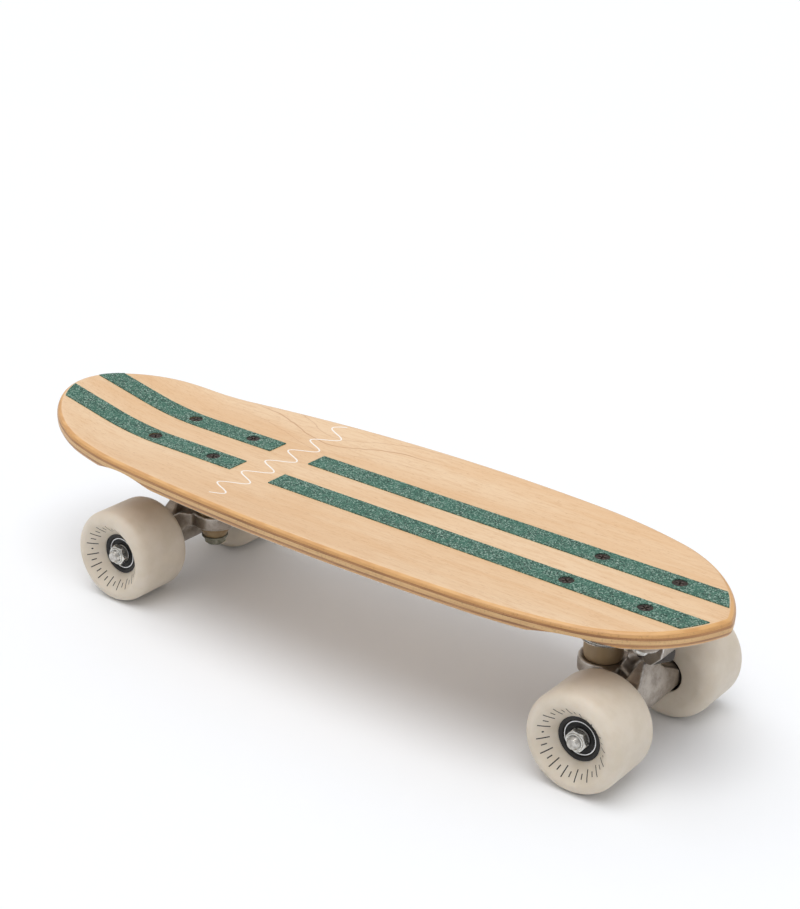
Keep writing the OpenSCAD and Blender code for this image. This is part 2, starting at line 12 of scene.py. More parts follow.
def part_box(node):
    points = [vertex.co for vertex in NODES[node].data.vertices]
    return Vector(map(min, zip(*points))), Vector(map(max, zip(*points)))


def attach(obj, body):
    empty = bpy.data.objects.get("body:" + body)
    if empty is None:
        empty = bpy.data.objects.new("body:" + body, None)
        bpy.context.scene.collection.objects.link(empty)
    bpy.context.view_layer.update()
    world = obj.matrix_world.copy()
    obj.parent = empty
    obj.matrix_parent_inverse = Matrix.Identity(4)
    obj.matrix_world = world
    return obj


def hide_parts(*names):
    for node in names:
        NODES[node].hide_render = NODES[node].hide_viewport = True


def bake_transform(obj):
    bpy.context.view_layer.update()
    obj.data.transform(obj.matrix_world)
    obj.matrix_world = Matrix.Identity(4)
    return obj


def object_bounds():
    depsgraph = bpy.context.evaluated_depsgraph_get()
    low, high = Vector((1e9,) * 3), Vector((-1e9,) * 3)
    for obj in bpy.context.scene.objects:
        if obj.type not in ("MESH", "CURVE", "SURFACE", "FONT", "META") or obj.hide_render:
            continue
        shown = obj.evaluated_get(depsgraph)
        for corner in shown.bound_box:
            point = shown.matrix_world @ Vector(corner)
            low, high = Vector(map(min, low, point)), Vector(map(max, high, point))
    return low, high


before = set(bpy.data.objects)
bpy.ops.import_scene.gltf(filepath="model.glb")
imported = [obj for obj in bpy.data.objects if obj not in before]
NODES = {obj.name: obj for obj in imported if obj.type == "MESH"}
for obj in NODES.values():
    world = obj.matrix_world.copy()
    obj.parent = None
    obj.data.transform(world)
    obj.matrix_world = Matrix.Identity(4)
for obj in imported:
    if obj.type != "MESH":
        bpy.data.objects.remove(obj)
cad_low, cad_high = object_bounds()

MM = 0.001
TURN = 2 * pi
UPSIDE_DOWN = Matrix.Rotation(pi, 4, "X")
ENDS = ("front", "rear")
SIDES = ("left", "right")
OUTBOARD = {"front": 1, "rear": -1}
PLIES = (
    "deck_ply_1_top", "deck_ply_2", "deck_ply_3_cross", "deck_ply_4_core",
    "deck_ply_5_cross", "deck_ply_6", "deck_ply_7_bottom",
)

# The deck's driving dimensions, the same as in the CAD source
EDGE_R = 5.0 * MM
FLAT_HALF = 30 * MM
FLANK_R = 412 * MM
KICK_R = 270 * MM
KICK = radians(11.2931)
KICK_START = 0.2 * MM
ARC_R = [8, 102, 353, 0, 84, 53]
ARC_DEG = [16.8, 58.3, 10.7, 13.6, 50.7, 29.9]
LONG_SIDE = 3
BOLT_DX = 53.975 * MM
WELL_R = 100 * MM
WELL_BACK = 8 * MM
WELL_START = 38 * MM
WELL_TILT = radians(10)
# How far the edge stays inside the CAD's
EDGE_SLACK = 0.03 * MM

# Sizes of the standard hardware
HEAD_R = 4.75 * MM
HEAD_RIM = 0.35 * MM
SHANK_R = 2.4 * MM
BOLT_HOLE_R = 2.65 * MM
BOLT_PITCH = 0.8 * MM
WASHER_T = 1 * MM
BEARING_W = 7 * MM
BEARING_SPAN = 24 * MM
RACE_R = 11 * MM
KING_BORE_R = 4.9 * MM
KING_HEX = 14.3 * MM
THREAD_PITCH = 1.06 * MM
# Heights that the cutters for the bolt holes reach
HOLE_LOW = 70 * MM
HOLE_HIGH = 110 * MM


def middle(node):
    low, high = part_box(node)
    return (low + high) / 2


def linked(name, data):
    obj = bpy.data.objects.new(name, data)
    bpy.context.scene.collection.objects.link(obj)
    return obj


AXLE = {end: middle(end + "_axle") for end in ENDS}
KING = {end: middle(end + "_kingpin") for end in ENDS}
DECK_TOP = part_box("grip_front_left")[0].z
DEPTH = [0.0] + [DECK_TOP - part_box(ply)[0].z for ply in PLIES]
DECK_T = DEPTH[-1]
KICK_X = AXLE["rear"].x - KICK_START

# ---------- camera, lights and floor ----------

CAMERA_AIM = Vector((0.0166, 0.0104, 0.1323))
CAMERA_AWAY = 1.19092
CAMERA_TURN = radians(36.203)
CAMERA_RISE = radians(23.067)
CAMERA_ROLL = 0.036
CAMERA_LENS = 72.95
SENSOR_W = 36


def make_camera():
    back = Vector((
        sin(CAMERA_TURN) * cos(CAMERA_RISE),
        -cos(CAMERA_TURN) * cos(CAMERA_RISE),
        sin(CAMERA_RISE),
    ))
    level = Vector((cos(CAMERA_TURN), sin(CAMERA_TURN), 0))
    right = cos(CAMERA_ROLL) * level + sin(CAMERA_ROLL) * back.cross(level)
    turn = Matrix((right, back.cross(right), back)).transposed().to_4x4()
    data = bpy.data.cameras.new("camera")
    data.lens = CAMERA_LENS
    data.sensor_width = SENSOR_W
    camera = linked("camera", data)
    camera.matrix_world = Matrix.Translation(CAMERA_AIM + CAMERA_AWAY * back) @ turn
    bpy.context.scene.camera = camera


def make_light(name, place, spread, strength, colour):
    """A soft light far away in the direction of place; spread is how wide it looks, in degrees."""
    data = bpy.data.lights.new(name, "SUN")
    data.angle = radians(spread)
    data.energy = strength
    data.color = colour
    light = linked(name, data)
    light.location = place
    light.rotation_mode = "QUATERNION"
    light.rotation_quaternion = (-Vector(place)).to_track_quat("-Z", "Y")


def make_world():
    world = bpy.data.worlds.new("studio")
    world.use_nodes = True
    bpy.context.scene.world = world
    tree = world.node_tree
    place = tree.nodes.new("ShaderNodeTexCoord")
    split = tree.nodes.new("ShaderNodeSeparateXYZ")
    ramp = tree.nodes.new("ShaderNodeValToRGB")
    ramp.color_ramp.elements[0].color = (0.86, 0.87, 0.90, 1)
    ramp.color_ramp.elements[1].position = 0.75
    ramp.color_ramp.elements[1].color = (1, 1, 1, 1)
    tree.links.new(place.outputs["Generated"], split.inputs[0])
    tree.links.new(split.outputs["Z"], ramp.inputs[0])
    tree.links.new(ramp.outputs[0], tree.nodes["Background"].inputs["Color"])
    tree.nodes["Background"].inputs["Strength"].default_value = 0.55
    bpy.context.scene.view_settings.view_transform = "Standard"


# ---------- materials ----------

def rgb(r, g, b):
    """A display colour, 0 to 255, as linear light."""
    return [((c / 255 + 0.055) / 1.055) ** 2.4 if c > 10 else c / 255 / 12.92 for c in (r, g, b)]


class Look:
    """A procedural material, built up on one principled shader."""

    def __init__(self, name, **sockets):
        self.name = name
        self.material = bpy.data.materials.new(name)
        self.material.use_nodes = True
        self.tree = self.material.node_tree
        self.shader = self.tree.nodes["Principled BSDF"]
        for socket, value in sockets.items():
            self.shader.inputs[socket.replace("_", " ")].default_value = value
        self.place = self.node("ShaderNodeTexCoord").outputs["Object"]

    def node(self, kind, **settings):
        made = self.tree.nodes.new(kind)
        for key, value in settings.items():
            setattr(made, key, value)
        return made

    def feed(self, socket, value):
        if isinstance(value, bpy.types.NodeSocket):
            self.tree.links.new(value, socket)
        elif isinstance(value, (list, tuple)) and len(value) == 3 and len(socket.default_value) == 4:
            socket.default_value = [*value, 1]
        else:
            socket.default_value = value

    def stretched(self, sx, sy, sz):
        made = self.node("ShaderNodeVectorMath", operation="MULTIPLY")
        self.feed(made.inputs[0], self.place)
        made.inputs[1].default_value = (sx, sy, sz)
        return made.outputs[0]

    def noise(self, sx, sy, sz, detail=3, rough=0.5, distortion=0.0):
        made = self.node("ShaderNodeTexNoise")
        self.feed(made.inputs["Vector"], self.stretched(sx, sy, sz))
        for name, value in (("Scale", 1), ("Detail", detail), ("Roughness", rough), ("Distortion", distortion)):
            made.inputs[name].default_value = value
        return made.outputs["Fac"]

    def even(self, scale, detail, rough=0.5):
        return self.noise(scale, scale, scale, detail, rough)

    def cells(self, scale):
        made = self.node("ShaderNodeTexVoronoi")
        self.feed(made.inputs["Vector"], self.stretched(scale, scale, scale))
        made.inputs["Scale"].default_value = 1
        return made.outputs["Color"], made.outputs["Distance"]

    def maths(self, operation, a, b=0.0):
        made = self.node("ShaderNodeMath", operation=operation)
        for socket, value in zip(made.inputs, (a, b)):
            self.feed(socket, value)
        return made.outputs[0]

    def span(self, value, low, high, to_low=0.0, to_high=1.0):
        """value from low..high to to_low..to_high, smooth and clamped."""
        made = self.node("ShaderNodeMapRange", interpolation_type="SMOOTHSTEP")
        for socket, number in zip(made.inputs, (value, low, high, to_low, to_high)):
            self.feed(socket, number)
        return made.outputs[0]

    def mix(self, share, a, b):
        made = self.node("ShaderNodeMix", data_type="RGBA")
        for index, value in ((0, share), (6, a), (7, b)):
            self.feed(made.inputs[index], value)
        return made.outputs[2]

    def over(self, base, colour, value, low, high, share=1.0):
        """base with colour laid over it as value goes from low to high, up to this share."""
        return self.mix(self.span(value, low, high, 0.0, share), base, colour)

    def axis(self, name, source=None):
        made = self.node("ShaderNodeSeparateXYZ")
        self.feed(made.inputs[0], source or self.place)
        return made.outputs[name]

    def normal(self):
        return self.node("ShaderNodeNewGeometry").outputs["Normal"]

    def worn(self, low=0.52, high=0.6):
        """1 on convex edges, which handling polishes first, and 0 on flat faces."""
        return self.span(self.node("ShaderNodeNewGeometry").outputs["Pointiness"], low, high)

    def bump(self, height, strength, reach):
        made = self.node("ShaderNodeBump")
        made.inputs["Strength"].default_value = strength
        made.inputs["Distance"].default_value = reach
        self.feed(made.inputs["Height"], height)
        self.feed(self.shader.inputs["Normal"], made.outputs[0])

    def set(self, **sockets):
        for socket, value in sockets.items():
            self.feed(self.shader.inputs[socket.replace("_", " ")], value)
        return self


def grain_height(look):
    return look.noise(26, 900, 900, detail=4, rough=0.6)


# The knot's place behind the board's middle and its half length, how far the growth lines bend and waver,
# and each line's distance to the left, half width and strength
KNOT_BACK = 75 * MM
KNOT_HALF = 38 * MM
KNOT_BEND = 20 * MM
KNOT_WAVER = 10 * MM
GROWTH_LINES = ((73.5 * MM, 1.0 * MM, 0.62), (59.5 * MM, 0.7 * MM, 0.25), (85.0 * MM, 0.8 * MM, 0.32))


def maple_face():
    """Rotary-cut maple veneer: pale streaks, short flecks, bent growth lines and a darker edge."""
    look = Look("maple_face", Roughness=0.42, Coat_Weight=0.22, Coat_Roughness=0.25)
    broad = look.noise(5, 42, 42, detail=3, rough=0.55, distortion=0.4)
    fine = look.noise(60, 560, 560, detail=4, rough=0.62)
    wood = look.over(rgb(237, 205, 167), rgb(229, 188, 143), broad, 0.3, 0.72)
    wood = look.over(wood, rgb(218, 174, 127), fine, 0.42, 0.72, 0.55)
    fleck = look.noise(230, 1500, 1500, detail=2)
    wood = look.over(wood, rgb(194, 146, 102), fleck, 0.6, 0.7, 0.42)
    # growth lines that bend round a knot on the left of the tail
    along = look.maths("DIVIDE", look.maths("ADD", look.axis("X"), KNOT_BACK), KNOT_HALF)
    dip = look.maths("EXPONENT", look.maths("MULTIPLY", look.maths("MULTIPLY", along, along), -1))
    ring = look.maths("ADD", look.axis("Y"), look.maths("MULTIPLY", dip, KNOT_BEND))
    ring = look.maths("ADD", ring, look.maths("MULTIPLY", look.even(28, 3), KNOT_WAVER))
    near = look.span(look.maths("ABSOLUTE", along), 1.3, 2.6, 1, 0)
    for at, half, share in GROWTH_LINES:
        off = look.maths("ABSOLUTE", look.maths("SUBTRACT", ring, at))
        line = look.maths("MULTIPLY", look.span(off, 0, half, share, 0), near)
        wood = look.mix(line, wood, rgb(176, 120, 76))
    # sanded, oiled edge
    edge = look.span(look.axis("Z", look.normal()), 0.93, 0.985, 1, 0)
    streaks = look.span(look.noise(60, 60, 500, detail=3), 0.35, 0.7)
    rim = look.mix(streaks, rgb(226, 176, 114), rgb(208, 154, 94))
    look.set(Base_Color=look.mix(edge, wood, rim))
    look.bump(grain_height(look), 0.12, 0.3 * MM)
    return look


def ply_edge(name, light, dark, layers, dots):
    """Sanded edge of a ply: layers are lines along the edge, dots are the ends of the fibres."""
    look = Look(name, Roughness=0.45, Coat_Weight=0.15, Coat_Roughness=0.3)
    lines = look.noise(40, 40, layers, detail=4, rough=0.6)
    ends = look.noise(dots, dots, dots * 0.7, detail=3)
    wood = look.over(light, dark, lines, 0.34, 0.68)
    wood = look.over(wood, [c * 0.55 for c in dark], ends, 0.52, 0.7, 0.4)
    broad = look.noise(9, 9, 30, detail=2)
    wood = look.over(wood, [min(1, c * 1.25) for c in light], broad, 0.35, 0.7, 0.3)
    look.set(Base_Color=wood)
    look.bump(lines, 0.15, 0.0003)
    return look


def underside():
    """Bottom veneer, with the same streaks as the top and a clear coat."""
    look = Look("maple_bottom", Roughness=0.4, Coat_Weight=0.3, Coat_Roughness=0.2)
    broad = look.noise(6, 48, 48, detail=3, rough=0.55, distortion=0.6)
    fine = look.noise(20, 480, 480, detail=4, rough=0.6)
    wood = look.over(rgb(229, 210, 188), rgb(214, 192, 168), broad, 0.3, 0.72)
    wood = look.over(wood, rgb(202, 178, 152), fine, 0.45, 0.75, 0.6)
    fleck = look.noise(210, 1400, 1400, detail=2)
    look.set(Base_Color=look.over(wood, rgb(170, 140, 112), fleck, 0.62, 0.72, 0.35))
    look.bump(grain_height(look), 0.12, 0.0003)
    return look


def grip_look():
    """Green grit: crushed grains from dark to pale, and a few pale cells that are painted glints, highlights put into
    the colour.
    """
    look = Look("grip_tape", Roughness=0.78, Specular_IOR_Level=0.45)
    colour, near = look.cells(1350)
    shade = look.axis("X", colour)
    grit = look.over(rgb(50, 88, 76), rgb(92, 130, 114), shade, 0.0, 0.75)
    # painted highlight: the palest cells are glints painted into the grit colour
    grit = look.over(grit, rgb(178, 200, 188), shade, 0.78, 0.84, 0.62)
    other = look.axis("Y", colour)
    grit = look.over(grit, rgb(28, 46, 40), other, 0.76, 0.82, 0.8)
    patch = look.even(90, 3)
    look.set(Base_Color=look.over(grit, rgb(60, 118, 100), patch, 0.35, 0.7, 0.35))
    look.bump(look.maths("SUBTRACT", 1, near), 0.7, 0.0004)
    return look


def urethane(name, colour, shade, rough, soft):
    """Cast urethane: cloudy colour, very fine bloom, and a little light that goes in."""
    look = Look(name, Roughness=rough, Specular_IOR_Level=0.4, Subsurface_Weight=soft,
                Subsurface_Radius=(0.6, 0.45, 0.3), Subsurface_Scale=0.004)
    cloud = look.even(70, 4, 0.55)
    speck = look.even(1600, 2)
    paint = look.over(colour, shade, cloud, 0.32, 0.7)
    paint = look.over(paint, [c * 0.6 for c in shade], speck, 0.6, 0.75, 0.12)
    look.set(Base_Color=paint)
    look.bump(look.even(900, 3), 0.08, 0.0002)
    return look


def cast_alloy():
    """Tumbled aluminium casting: cloudy grey, pits, fine scratches, and bright ridges."""
    look = Look("cast_alloy", Metallic=0.92, Specular_IOR_Level=0.5)
    cloud = look.even(120, 5, 0.6)
    pits = look.even(1500, 4, 0.65)
    scratch = look.noise(300, 2600, 900, detail=3)
    metal = look.over(rgb(182, 173, 163), rgb(145, 135, 125), cloud, 0.3, 0.72)
    metal = look.over(metal, rgb(104, 97, 90), pits, 0.56, 0.72, 0.5)
    metal = look.mix(look.worn(0.51, 0.57), metal, rgb(236, 234, 230))
    look.set(Base_Color=metal, Roughness=look.span(look.maths("ADD", cloud, scratch), 0.7, 1.4, 0.34, 0.55))
    look.bump(look.maths("ADD", pits, look.maths("MULTIPLY", scratch, 0.6)), 0.3, 0.00012)
    return look


def plain_metal(name, bright, dull, rough_low, rough_high, scratch=0.15):
    """Turned or plated steel: faint tool lines, cloudy dulling and bright worn corners."""
    look = Look(name, Metallic=0.85)
    cloud = look.even(260, 4, 0.6)
    lines = look.noise(400, 3400, 3400, detail=3)
    metal = look.over(bright, dull, cloud, 0.3, 0.7)
    metal = look.over(metal, [c * 0.7 for c in dull], lines, 0.55, 0.8, 0.12)
    metal = look.mix(look.worn(), metal, [min(1, c * 1.3) for c in bright])
    look.set(Base_Color=metal, Roughness=look.span(cloud, 0.3, 0.75, rough_low, rough_high))
    look.bump(lines, scratch, 0.00001)
    return look


def black_oxide():
    """Black bolt finish that has rubbed brown on its corners."""
    look = Look("black_steel", Metallic=0.55, Specular_IOR_Level=0.4)
    cloud = look.even(500, 4)
    metal = look.over(rgb(48, 40, 37), rgb(78, 66, 60), cloud, 0.35, 0.7)
    metal = look.mix(look.worn(0.53, 0.62), metal, rgb(112, 98, 90))
    look.set(Base_Color=metal, Roughness=look.span(cloud, 0.3, 0.7, 0.38, 0.6))
    look.bump(look.even(2600, 2), 0.2, 0.0001)
    return look


def rubber(name, colour, rough=0.6):
    look = Look(name, Roughness=rough, Specular_IOR_Level=0.35)
    cloud = look.even(300, 4)
    fine = look.even(2400, 3)
    paint = look.over(colour, [c * 1.7 + 0.004 for c in colour], cloud, 0.3, 0.72)
    look.set(Base_Color=paint, Roughness=look.span(fine, 0.3, 0.7, rough - 0.08, rough + 0.1))
    look.bump(fine, 0.2, 0.00015)
    return look


def ink(name, colour, rough):
    """Screen-printed ink, a little uneven in cover."""
    look = Look(name, Roughness=rough)
    cover = look.even(1400, 3)
    look.set(Base_Color=look.over(colour, [c * 0.85 + 0.02 for c in colour], cover, 0.45, 0.75, 0.35))
    look.bump(cover, 0.1, 0.0001)
    return look


def floor_look():
    look = Look("floor", Roughness=0.9, Specular_IOR_Level=0.1)
    tone = look.even(1.5, 2)
    look.set(Base_Color=look.over((0.935, 0.955, 0.985), (0.93, 0.95, 0.98), tone, 0.3, 0.7))
    return look


LOOK = {
    "maple_face": maple_face(),
    "maple_bottom": underside(),
    "long": ply_edge("maple_long_ply", rgb(206, 158, 101), rgb(188, 137, 83), 1500, 900),
    "core": ply_edge("maple_core_ply", rgb(214, 175, 122), rgb(196, 153, 101), 1100, 700),
    "cross": ply_edge("maple_cross_ply", rgb(176, 127, 80), rgb(138, 95, 57), 900, 1500),
    "grip": grip_look(),
    "motif": ink("motif_ink", rgb(250, 243, 236), 0.5),
    "tick": ink("tick_ink", rgb(40, 34, 31), 0.5),
    "bolt": black_oxide(),
    "zinc": plain_metal("zinc_steel", rgb(222, 222, 218), rgb(176, 174, 168), 0.2, 0.38),
    # zinc with painted shade: a darker, greyer copy of the zinc finish for the parts under the trucks, standing in for
    # the shade they sit in
    "dull": plain_metal("zinc_painted_shade", rgb(150, 149, 134), rgb(112, 112, 98), 0.45, 0.6),
    "kingpin": plain_metal("kingpin_steel", rgb(176, 172, 166), rgb(128, 124, 118), 0.3, 0.5),
    "axle": plain_metal("axle_steel", rgb(205, 202, 196), rgb(160, 156, 150), 0.22, 0.42),
    "bearing": plain_metal("bearing_steel", rgb(246, 246, 246), rgb(228, 228, 228), 0.3, 0.42, 0.08),
    "alloy": cast_alloy(),
    "wheel": urethane("wheel_urethane", rgb(220, 209, 193), rgb(213, 201, 183), 0.46, 0.25),
    "upper": urethane("upper_bushing_urethane", rgb(174, 150, 116), rgb(158, 134, 102), 0.4, 0.15),
    "lower": urethane("lower_bushing_urethane", rgb(164, 139, 103), rgb(144, 121, 90), 0.4, 0.15),
    "riser": rubber("riser_rubber", rgb(38, 36, 34)),
    "pivot": rubber("pivot_urethane", rgb(62, 58, 54), 0.45),
    "core_plastic": rubber("core_plastic", rgb(24, 22, 21), 0.42),
    "seal": rubber("seal_rubber", rgb(20, 20, 20), 0.5),
    "nylon": urethane("nylon_ring", rgb(214, 212, 204), rgb(200, 198, 190), 0.4, 0.2),
    "floor": floor_look(),
}


# ---------- building meshes ----------

def dress(obj, look):
    obj.data.materials.clear()
    obj.data.materials.append(LOOK[look].material)


def crisp(obj, degrees):
    """Smooth shading, with edges over this angle kept sharp."""
    work = bmesh.new()
    work.from_mesh(obj.data)
    for face in work.faces:
        face.smooth = True
    for edge in work.edges:
        edge.smooth = len(edge.link_faces) == 2 and edge.calc_face_angle(0) < radians(degrees)
    work.to_mesh(obj.data)
    work.free()


def apply_all(obj):
    """Keeps what the modifiers make as the mesh itself."""
    ready = obj.evaluated_get(bpy.context.evaluated_depsgraph_get())
    mesh = bpy.data.meshes.new_from_object(ready)
    obj.modifiers.clear()
    obj.data = mesh


def carve(obj, cutter, degrees):
    cut = obj.modifiers.new("cut", "BOOLEAN")
    cut.operation = "DIFFERENCE"
    cut.solver = "EXACT"
    cut.object = cutter
    apply_all(obj)
    crisp(obj, degrees)


def remove(obj):
    bpy.data.objects.remove(obj)


def fit(obj, body, node):
    """obj rides on the body and stands for the CAD node, which it hides."""
    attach(obj, body)
    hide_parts(node)


class Shape:
    """Points and faces gathered from turned, extruded and gridded forms."""

    def __init__(self):
        self.points = []
        self.faces = []

    def add(self, points, faces, at=Matrix()):
        first = len(self.points)
        self.points += [at @ Vector(p) for p in points]
        self.faces += [[first + i for i in face] for face in faces]
        return self

    def turned(self, rings, at=Matrix(), count=72, loop=False):
        """rings are (radius, height); a radius may be a function of the angle and the height."""
        points, faces = [], []
        for radius, height in rings:
            for k in range(count):
                a = TURN * k / count
                r = radius(a, height) if callable(radius) else radius
                points.append((r * cos(a), r * sin(a), height))
        for j in range(len(rings) if loop else len(rings) - 1):
            here, there = j * count, (j + 1) % len(rings) * count
            for k in range(count):
                after = (k + 1) % count
                faces.append((here + k, here + after, there + after, there + k))
        return self.add(points, faces, at)

    def slab(self, outline, levels, at=Matrix()):
        """A flat plate; levels are (height, how much smaller than the outline)."""
        count = len(outline)
        centre = Vector((sum(p[0] for p in outline) / count, sum(p[1] for p in outline) / count))
        points, faces = [], []
        for height, inset in levels:
            for p in outline:
                away = Vector(p) - centre
                q = centre + away * (1 - inset / away.length)
                points.append((q.x, q.y, height))
        for j in range(len(levels) - 1):
            for k in range(count):
                after = (k + 1) % count
                faces.append((j * count + k, j * count + after, (j + 1) * count + after, (j + 1) * count + k))
        faces.append(tuple(range(count)))
        faces.append(tuple(range((len(levels) - 1) * count, len(levels) * count)))
        return self.add(points, faces, at)

    def make(self, name, look, degrees=35, at=Matrix()):
        mesh = bpy.data.meshes.new(name)
        mesh.from_pydata([tuple(p) for p in self.points], [], self.faces)
        work = bmesh.new()
        work.from_mesh(mesh)
        bmesh.ops.remove_doubles(work, verts=work.verts, dist=1e-6)
        bmesh.ops.dissolve_degenerate(work, edges=work.edges, dist=1e-8)
        bmesh.ops.recalc_face_normals(work, faces=work.faces)
        work.to_mesh(mesh)
        work.free()
        obj = linked(name, mesh)
        obj.matrix_world = at
        dress(obj, look)
        crisp(obj, degrees)
        return obj


def rounded(r, z, dr, dz, steps=5):
    """Quarter round from (r - dr, z) to (r, z + dz), as rings."""
    turns = [pi / 2 * k / steps for k in range(steps + 1)]
    return [(r - dr + dr * sin(t), z + dz * (1 - cos(t))) for t in turns]


def ring_solid(shape, r_in, r_out, low, high, bevel, at=Matrix(), count=72):
    """A tube with rounded corners."""
    loop = rounded(r_out, low, bevel, bevel, 3) + rounded(r_out, high, bevel, -bevel, 3)[::-1]
    loop += [(r_in + bevel, high), (r_in, high - bevel), (r_in, low + bevel), (r_in + bevel, low)]
    return shape.turned(loop, at, count, loop=True)


def hexagon(across, chamfer_r):
    """Radius of a hexagon at an angle, cut back by a chamfer cone."""
    def radius(angle, height):
        folded = (angle + pi / 6) % (pi / 3) - pi / 6
        return min(across / 2 / cos(folded), chamfer_r)
    return radius


def screw(major, depth, pitch):
    """Radius of a thread at an angle and a height."""
    def radius(angle, height):
        phase = (height / pitch - angle / TURN) % 1
        return major - depth * (1 - abs(2 * phase - 1)) ** 0.8
    return radius


def threaded(shape, major, pitch, low, high, at, before=None):
    """A threaded rod from low to high, chamfered at the top; rings of a head may come before it."""
    depth = 0.55 * pitch
    steps = max(2, round((high - low) / pitch * 6))
    thread = screw(major, depth, pitch)
    tip = 0.9 * MM

    def tapered(angle, height):
        return min(thread(angle, height), major - max(0.0, height - (high - tip)) * 0.9)

    rings = (before or [(0.0, low)]) + [(tapered, low + (high - low) * k / steps) for k in range(steps + 1)]
    return shape.turned(rings + [(major - tip * 1.6, high), (0.0, high)], at, 48)


def lock_nut(shape, across, bore, hex_h, collar_r, height, at):
    """A hexagon with chamfered corners and a round collar, seated at height 0."""
    corner = across / 2 / cos(pi / 6)
    face = across / 2
    loop = [(bore + 0.4 * MM, 0.0), (face - 0.3 * MM, 0.0)]
    for height_share, radius in ((0.0, face + 0.1 * MM), (0.06, face + 0.45 * MM), (0.14, corner), (0.8, corner),
                                 (0.92, face + 0.5 * MM), (1.0, face + 0.05 * MM)):
        loop.append((hexagon(across, radius), hex_h * height_share))
    loop += [(collar_r + 0.5 * MM, hex_h), (collar_r + 0.12 * MM, hex_h + 0.15 * MM)]
    loop += rounded(collar_r, height, 0.6 * MM, -0.6 * MM, 4)[::-1]
    loop += [(bore + 0.9 * MM, height - 0.05 * MM), (bore + 0.6 * MM, height - 0.4 * MM), (bore, height - 0.5 * MM),
             (bore, 0.4 * MM)]
    return shape.turned(loop, at, 96, loop=True)


def place(shape, name, body, look, degrees, node, at=Matrix()):
    fit(shape.make(name, look, degrees, at), body, node)


# ---------- deck ----------

def deck_height(x, y, depth):
    """Height of the layer at this depth: flat, with its flanks turned up and a kick at the tail."""
    out = max(abs(y) - FLAT_HALF, 0.0)
    lift = FLANK_R - sqrt((FLANK_R + depth) ** 2 - out * out)
    if x >= KICK_X:
        return DECK_TOP + lift
    reach, radius = KICK_X - x, KICK_R - lift
    if reach <= radius * sin(KICK):
        return DECK_TOP + KICK_R - sqrt(radius * radius - reach * reach)
    straight = (reach - radius * sin(KICK)) / cos(KICK)
    return DECK_TOP + KICK_R - radius * cos(KICK) + straight * sin(KICK)


def outline_arcs():
    """The outline's arcs, nose tip to tail tip: centre, radius, first heading and turn."""
    heads = [radians(90 + sum(ARC_DEG[:i])) for i in range(len(ARC_R) + 1)]
    rise = [cos(heads[i]) - cos(heads[i + 1]) for i in range(len(ARC_R))]
    radii = [r * MM for r in ARC_R]
    radii[LONG_SIDE] = -sum(r * k for r, k in zip(radii, rise)) / rise[LONG_SIDE]
    x, y, arcs = cad_high.x, 0.0, []
    for i, r in enumerate(radii):
        centre = (x - r * sin(heads[i]), y + r * cos(heads[i]))
        arcs.append((centre, r, heads[i], heads[i + 1] - heads[i]))
        x = centre[0] + r * sin(heads[i + 1])
        y = centre[1] - r * cos(heads[i + 1])
    return arcs


ARCS = outline_arcs()


def half_outline(inset, spacing=2.6 * MM):
    """Points down the left side, from the nose tip to the tail tip, the same number at every inset."""
    points = []
    for (cx, cy), r, head, turn in ARCS:
        count = max(3, ceil(r * turn / spacing))
        for k in range(count):
            a = head + turn * k / count
            points.append((cx + (r - inset) * sin(a), max(0.0, cy - (r - inset) * cos(a))))
    return points + [(cad_low.x + inset, 0.0)]


def edge_inset(depth):
    """How far the rounded edge is in from the outline at a depth."""
    near = min(depth, DECK_T - depth)
    return EDGE_SLACK + EDGE_R - sqrt(max(0.0, EDGE_R ** 2 - max(EDGE_R - near, 0.0) ** 2))


def edge_depths(top, bottom):
    """Depths at which a ply's rounded edge gets a ring."""
    steps = 14
    round_top = [EDGE_R * (1 - cos(pi / 2 * k / steps)) for k in range(steps + 1)]
    every = round_top + [DECK_T - d for d in round_top]
    gap = 0.1 * MM
    return [top] + sorted(d for d in every if top + gap < d < bottom - gap) + [bottom]


def ply_shape(index):
    """One veneer: its two faces as grids, finer where they show, and its edge as a stack of outlines."""
    top, bottom = DEPTH[index], DEPTH[index + 1]
    columns = 44 if index in (0, len(PLIES) - 1) else 14
    shape = Shape()
    rings = []
    for depth in edge_depths(top, bottom):
        rings.append((depth, half_outline(edge_inset(depth))))
    for (d0, upper), (d1, lower) in zip(rings, rings[1:]):
        for side in (1, -1):
            loop = [(x, side * y, deck_height(x, y, d0)) for x, y in upper]
            loop += [(x, side * y, deck_height(x, y, d1)) for x, y in lower]
            n = len(upper)
            shape.add(loop, [(k, k + 1, n + k + 1, n + k) for k in range(n - 1)])
    for depth, line in (rings[0], rings[-1]):
        points = [
            (x, y * t, deck_height(x, y * t, depth))
            for x, y in line for t in [2 * c / columns - 1 for c in range(columns + 1)]
        ]
        wide = columns + 1
        shape.add(points, [
            (k * wide + c, k * wide + c + 1, (k + 1) * wide + c + 1, (k + 1) * wide + c)
            for k in range(len(line) - 1) for c in range(columns)
        ])
    return shape


def bolt_places():
    low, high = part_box("deck_bolts")
    y = high.y - HEAD_R
    outer = {"front": high.x - HEAD_R, "rear": low.x + HEAD_R}
    return [
        (outer[end] - OUTBOARD[end] * inboard, side * y)
        for end in ENDS for inboard in (0, BOLT_DX) for side in (1, -1)
    ]


BOLTS = bolt_places()
HEAD_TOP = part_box("deck_bolts")[1].z


def bolt_holes(name, look, low, high, radius, between):
    """Plain cylinders, between two heights, at each bolt inside the box from low to high."""
    holes = Shape()
    for x, y in BOLTS:
        if low.x < x < high.x and low.y < y < high.y:
            rings = [(0, between[0]), (radius, between[0]), (radius, between[1]), (0, between[1])]
            holes.turned(rings, Matrix.Translation((x, y, 0)), 48)
    return holes.make(name, look)


